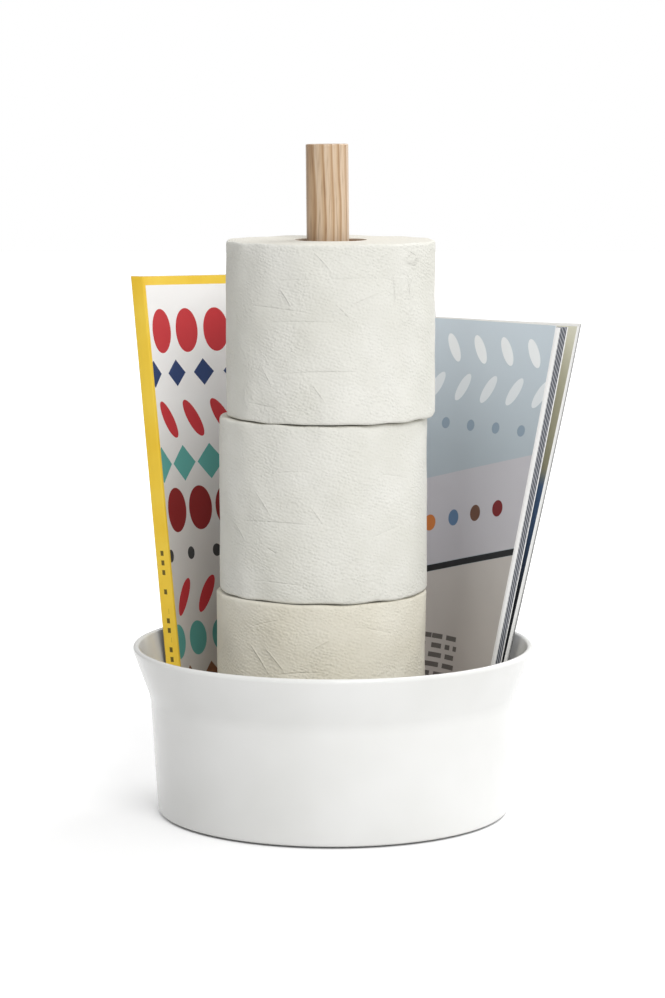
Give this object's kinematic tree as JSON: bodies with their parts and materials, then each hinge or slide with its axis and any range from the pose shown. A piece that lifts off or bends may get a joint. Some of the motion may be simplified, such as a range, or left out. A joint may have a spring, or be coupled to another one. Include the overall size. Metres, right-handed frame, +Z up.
{
  "type": "bathroom organizer",
  "caption": "White glazed bowl with an upright ash post that holds stacked toilet rolls, with magazines bent round behind them in the bowl.",
  "frame": {"origin": "on the surface the organizer stands on, on the bowl's axis, at the middle of the base pad's underside", "axes": "+Z up along the post, -Y to the front, the side without magazines, +X to the right seen from the front"},
  "size_m": [0.2523, 0.2384, 0.3653],
  "materials": {
    "white_glaze": "glossy white glaze",
    "foam_pad": "matt dark foam",
    "oiled_ash": "oiled, straight grain",
    "insert_brass": "machined",
    "plated_steel": "zinc plated",
    "black_rubber": "matt",
    "roll_card": "matt wound card",
    "embossed_tissue": "matt, embossed with fine dots",
    "magazine_pages": "satin coated pages",
    "yellow_cover": "gloss coated",
    "blue_cover": "satin coated"
  },
  "bodies": {
    "holder": {"bowl": "white_glaze", "base_pad": "foam_pad", "post": "oiled_ash", "threaded_insert": "insert_brass", "fixing_screw": "plated_steel", "steel_washer": "plated_steel", "rubber_washer": "black_rubber", "post_gasket": "black_rubber"},
    "lower_roll": {"lower_roll_core": "roll_card", "lower_roll_paper": "embossed_tissue"},
    "middle_roll": {"middle_roll_core": "roll_card", "middle_roll_paper": "embossed_tissue"},
    "upper_roll": {"upper_roll_core": "roll_card", "upper_roll_paper": "embossed_tissue"},
    "large_magazine": {"large_magazine_cover": "yellow_cover", "large_magazine_pages": "magazine_pages"},
    "small_magazine": {"small_magazine_cover": "blue_cover", "small_magazine_pages": "magazine_pages", "small_magazine_rear_pages": "magazine_pages"}
  },
  "joints": [
    {"name": "lower_roll_lift", "type": "slide", "parent": "holder", "child": "lower_roll", "axis": [0, 0, 1], "range_m": [0, 0.345]},
    {"name": "middle_roll_lift", "type": "slide", "parent": "lower_roll", "child": "middle_roll", "axis": [0, 0, 1], "range_m": [0, 0.25]},
    {"name": "upper_roll_lift", "type": "slide", "parent": "middle_roll", "child": "upper_roll", "axis": [0, 0, 1], "range_m": [0, 0.155]},
    {"name": "large_magazine_lift", "type": "slide", "parent": "holder", "child": "large_magazine", "axis": [0, 0, 1], "range_m": [0, 0.1]},
    {"name": "small_magazine_lift", "type": "slide", "parent": "large_magazine", "child": "small_magazine", "axis": [0, 0, 1], "range_m": [0, 0.1]}
  ]
}
